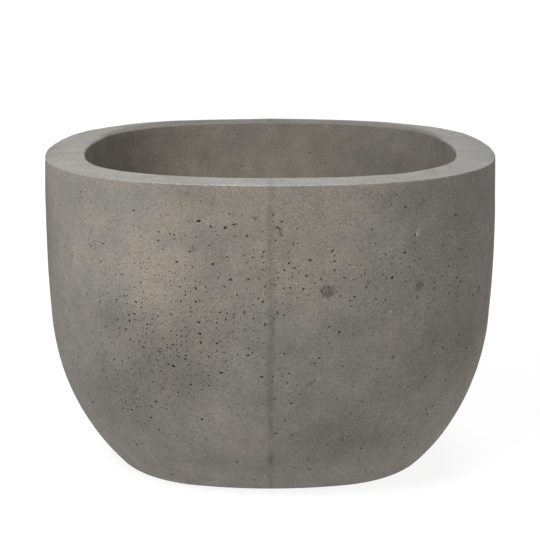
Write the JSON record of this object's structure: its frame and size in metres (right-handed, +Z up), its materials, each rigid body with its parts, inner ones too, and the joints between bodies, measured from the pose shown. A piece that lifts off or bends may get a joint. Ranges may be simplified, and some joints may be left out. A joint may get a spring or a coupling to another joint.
{
  "type": "planter box",
  "caption": "Free-standing cast-concrete street planter: rounded-square tub with a flat rim, a curved-in foot, a drained floor and a lift-out strainer.",
  "frame": {"origin": "on the ground under the middle of the plan, in the plane of the pads' lower faces", "axes": "+Z up; -Y is the side with the mould seam that faces the viewer; X to the right of that side"},
  "size_m": [0.9094, 0.9094, 0.617],
  "materials": {
    "concrete": "matte",
    "sleeve_plastic": "satin",
    "strainer_plastic": "satin",
    "galvanised_steel": "satin",
    "pad_rubber": "matte",
    "bar_steel": "matte",
    "chair_plastic": "satin"
  },
  "bodies": {
    "tub": {"planter_shell": "concrete", "drain_sleeve": "sleeve_plastic", "lifting_ferrule_1": "galvanised_steel", "lifting_ferrule_2": "galvanised_steel", "lifting_ferrule_3": "galvanised_steel", "lifting_ferrule_4": "galvanised_steel", "base_pad_1": "pad_rubber", "base_pad_2": "pad_rubber", "base_pad_3": "pad_rubber", "base_pad_4": "pad_rubber", "wall_hoop_1": "bar_steel", "wall_hoop_2": "bar_steel", "wall_hoop_3": "bar_steel", "wall_hoop_4": "bar_steel", "wall_hoop_5": "bar_steel", "side_bar_1": "bar_steel", "side_bar_2": "bar_steel", "side_bar_3": "bar_steel", "side_bar_4": "bar_steel", "side_bar_5": "bar_steel", "side_bar_6": "bar_steel", "side_bar_7": "bar_steel", "side_bar_8": "bar_steel", "corner_bar_1": "bar_steel", "corner_bar_2": "bar_steel", "corner_bar_3": "bar_steel", "corner_bar_4": "bar_steel", "corner_bar_5": "bar_steel", "corner_bar_6": "bar_steel", "corner_bar_7": "bar_steel", "corner_bar_8": "bar_steel", "floor_bar_x_1": "bar_steel", "floor_bar_x_2": "bar_steel", "floor_bar_x_3": "bar_steel", "floor_bar_x_4": "bar_steel", "floor_bar_y_1": "bar_steel", "floor_bar_y_2": "bar_steel", "floor_bar_y_3": "bar_steel", "floor_bar_y_4": "bar_steel", "bar_chair_1": "chair_plastic", "bar_chair_2": "chair_plastic", "bar_chair_3": "chair_plastic", "bar_chair_4": "chair_plastic"},
    "strainer": {"drain_strainer": "strainer_plastic"}
  },
  "joints": [
    {"name": "strainer_lift", "type": "slide", "parent": "tub", "child": "strainer", "axis": [0, 0, 1], "range_m": [0, 0.62]}
  ]
}
